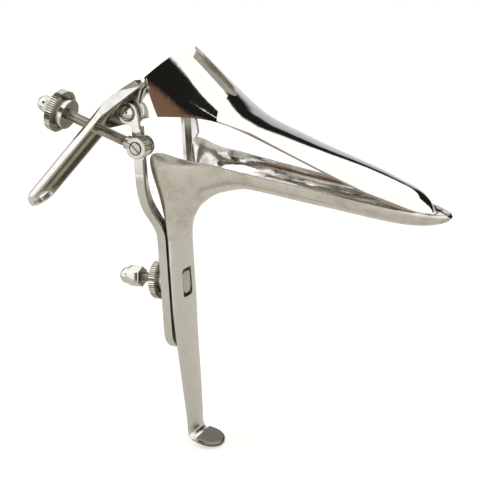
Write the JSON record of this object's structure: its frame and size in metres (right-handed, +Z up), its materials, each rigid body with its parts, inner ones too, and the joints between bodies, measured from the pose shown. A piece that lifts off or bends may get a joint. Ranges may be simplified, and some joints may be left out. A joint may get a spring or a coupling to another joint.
{
  "type": "bivalve speculum",
  "caption": "Bivalve speculum in pressed steel: trough blade on a channel handle, hinged upper blade with thumb lever, sliding yoke, threaded rod with knurled nut and a clamp wheel.",
  "frame": {"origin": "middle of the flat underside of the foot at the handle's lower end", "axes": "+X along the blades towards their tips, +Z up the handle along the yoke's slide, -Y towards the side of the thumb lever"},
  "size_m": [0.1606, 0.0546, 0.1621],
  "materials": {
    "blade_satin": "fine satin outside, polished inside",
    "handle_satin": "fine satin",
    "blade_mirror": "mirror polish",
    "lever_mirror": "mirror polish",
    "yoke_mirror": "mirror polish",
    "rivet_polished": "polished",
    "swivel_steel": "satin, knurled",
    "screw_steel": "satin",
    "thread_steel": "cut thread",
    "knurled_steel": "polished, knurled rim",
    "cap_nut_steel": "polished",
    "stud_steel": "satin"
  },
  "bodies": {
    "handle": {"lower_blade": "blade_satin", "handle": "handle_satin", "clamp_stud": "stud_steel", "clamp_cap_nut": "cap_nut_steel"},
    "yoke": {"yoke": "yoke_mirror", "near_pivot_rivet": "rivet_polished", "far_pivot_rivet": "rivet_polished", "swivel_screw": "screw_steel"},
    "upper_blade": {"upper_blade": "blade_mirror", "thumb_lever": "lever_mirror"},
    "rod": {"adjusting_rod": "thread_steel", "swivel_head": "swivel_steel", "rod_cap_nut": "cap_nut_steel"},
    "adjusting_nut": {"adjusting_nut": "knurled_steel"},
    "clamp_wheel": {"clamp_wheel": "knurled_steel"}
  },
  "joints": [
    {"name": "yoke_slide", "type": "slide", "parent": "handle", "child": "yoke", "axis": [0, 0, 1], "range_m": [0, 0.018]},
    {"name": "blade_tilt", "type": "hinge", "parent": "yoke", "child": "upper_blade", "pos_m": [-0.01553, 0, 0.13949], "axis": [0, -1, 0], "range_deg": [0, 35]},
    {"name": "rod_swing", "type": "hinge", "parent": "yoke", "child": "rod", "pos_m": [-0.00963, -0.0246, 0.12749], "axis": [0, -1, 0], "range_deg": [0, 19.5]},
    {"name": "nut_travel", "type": "slide", "parent": "rod", "child": "adjusting_nut", "axis": [0.9336, 0, -0.3584], "range_m": [0, 0.006]},
    {"name": "clamp_spin", "type": "hinge", "parent": "handle", "child": "clamp_wheel", "pos_m": [-0.01553, 0, 0.06839], "axis": [-1, 0, 0], "continuous": true}
  ],
  "couplings": [
    {"joint": "rod_swing", "follows": "blade_tilt", "ratio": 0.55}
  ]
}
